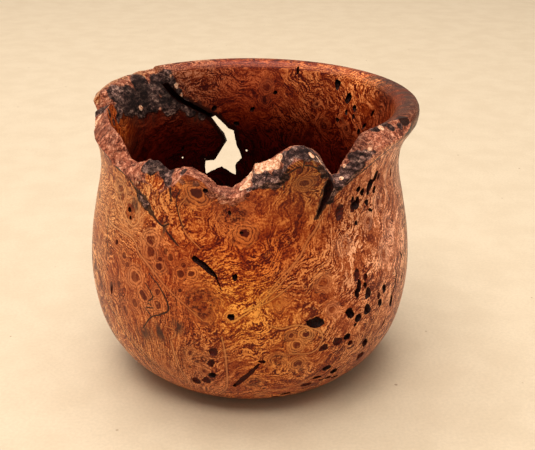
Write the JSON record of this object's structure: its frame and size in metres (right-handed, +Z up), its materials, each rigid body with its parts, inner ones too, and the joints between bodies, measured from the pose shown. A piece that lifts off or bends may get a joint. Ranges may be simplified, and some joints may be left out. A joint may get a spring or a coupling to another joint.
{
  "type": "maple burl vessel",
  "caption": "Small turned hollow vessel of maple burl with a flared lip, a lumpy bark natural edge and a bark pocket broken through its back wall.",
  "frame": {"origin": "centre of the flat foot, on the turning axis", "axes": "+Z up along the turning axis, -Y towards the front where the natural edge dips lowest, +X to the right"},
  "size_m": [0.1503, 0.1503, 0.131],
  "materials": {
    "oiled_burl": "satin oil"
  },
  "bodies": {
    "root": {"burl_vessel": "oiled_burl"}
  },
  "joints": []
}
